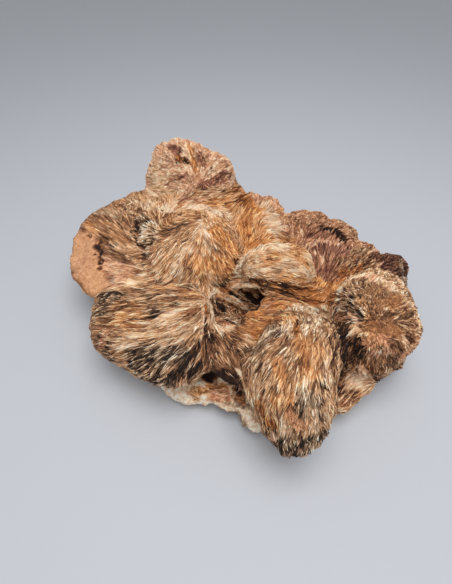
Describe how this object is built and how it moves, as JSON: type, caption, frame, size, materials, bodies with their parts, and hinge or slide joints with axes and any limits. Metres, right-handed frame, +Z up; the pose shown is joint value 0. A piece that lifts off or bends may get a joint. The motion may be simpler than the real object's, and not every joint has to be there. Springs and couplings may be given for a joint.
{
  "type": "barite specimen",
  "caption": "Natural cluster of fibrous crystal fans and domes grown together into one mass, resting on a flat underside.",
  "frame": {"origin": "middle of the bounding box's underside, on the flat face that the specimen rests on", "axes": "+X along the longest extent, to the right as seen from the front; +Y to the back, where the tall knob is; +Z up"},
  "size_m": [0.289, 0.2586, 0.1065],
  "materials": {
    "fibrous_barite": "dull fibrous mineral, cream, ochre, rust and dark brown, with a faint silky sheen along the crystals"
  },
  "bodies": {
    "root": {"barite_cluster": "fibrous_barite"}
  },
  "joints": []
}
